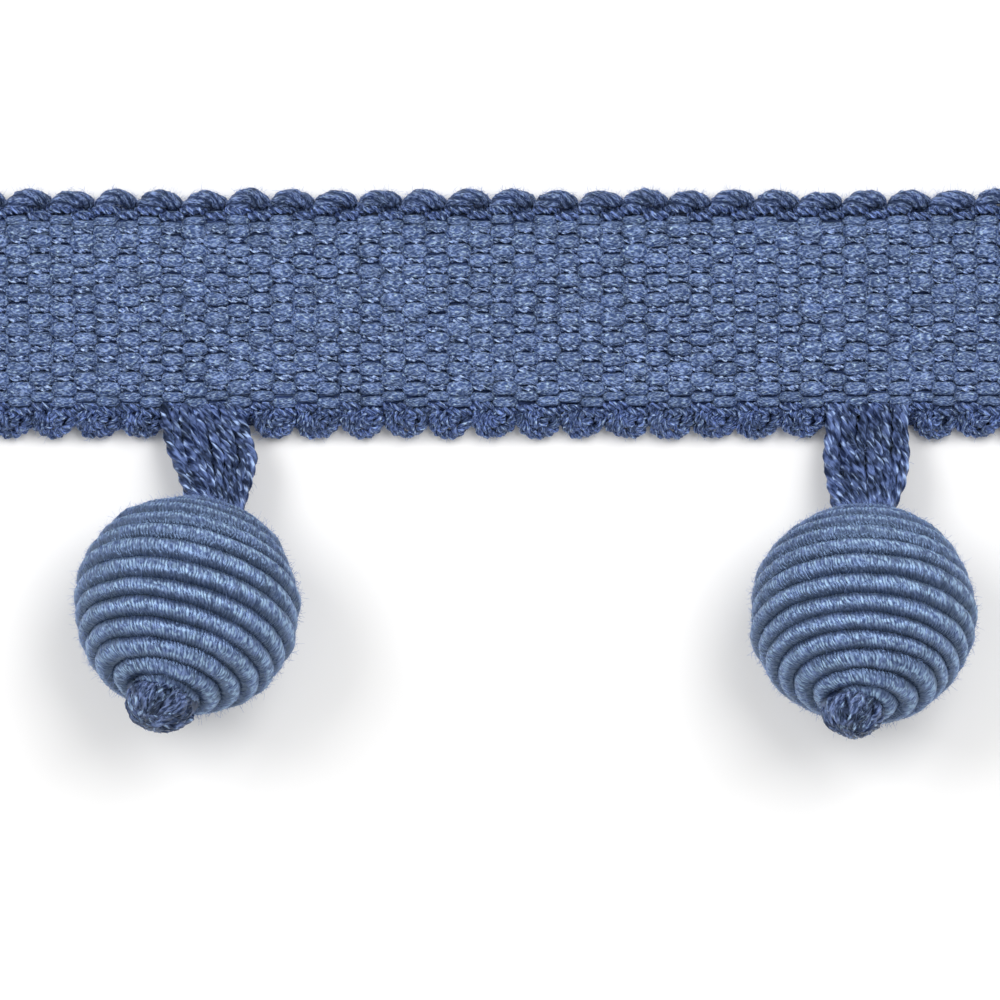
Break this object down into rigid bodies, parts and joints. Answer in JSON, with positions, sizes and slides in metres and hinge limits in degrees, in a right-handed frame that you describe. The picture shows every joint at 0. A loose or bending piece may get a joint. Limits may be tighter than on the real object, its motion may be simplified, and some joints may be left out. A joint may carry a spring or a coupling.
{
  "type": "beaded fringe trim",
  "caption": "Cut length of woven trim heading with looped edges, carrying cord-wrapped balls on flat yarn hangers that end in small knots.",
  "frame": {"origin": "middle of the heading's flat back", "axes": "+X along the heading, +Y to its upper edge with the balls towards -Y, +Z from the back to the face"},
  "size_m": [0.096, 0.0401, 0.0162],
  "materials": {
    "heading_weave": "soft blue spun yarn, woven, matt with a faint sheen",
    "hanger_yarn": "dark blue two-ply yarn with bright plies",
    "ball_gimp": "blue gimp cord, closely wrapped with fine thread, soft sheen",
    "knot_yarn": "dark blue yarn, tied and fuzzy"
  },
  "bodies": {
    "root": {"heading": "heading_weave", "hanger_1": "hanger_yarn", "hanger_2": "hanger_yarn", "ball_1": "ball_gimp", "ball_2": "ball_gimp", "knot_1": "knot_yarn", "knot_2": "knot_yarn"}
  },
  "joints": []
}
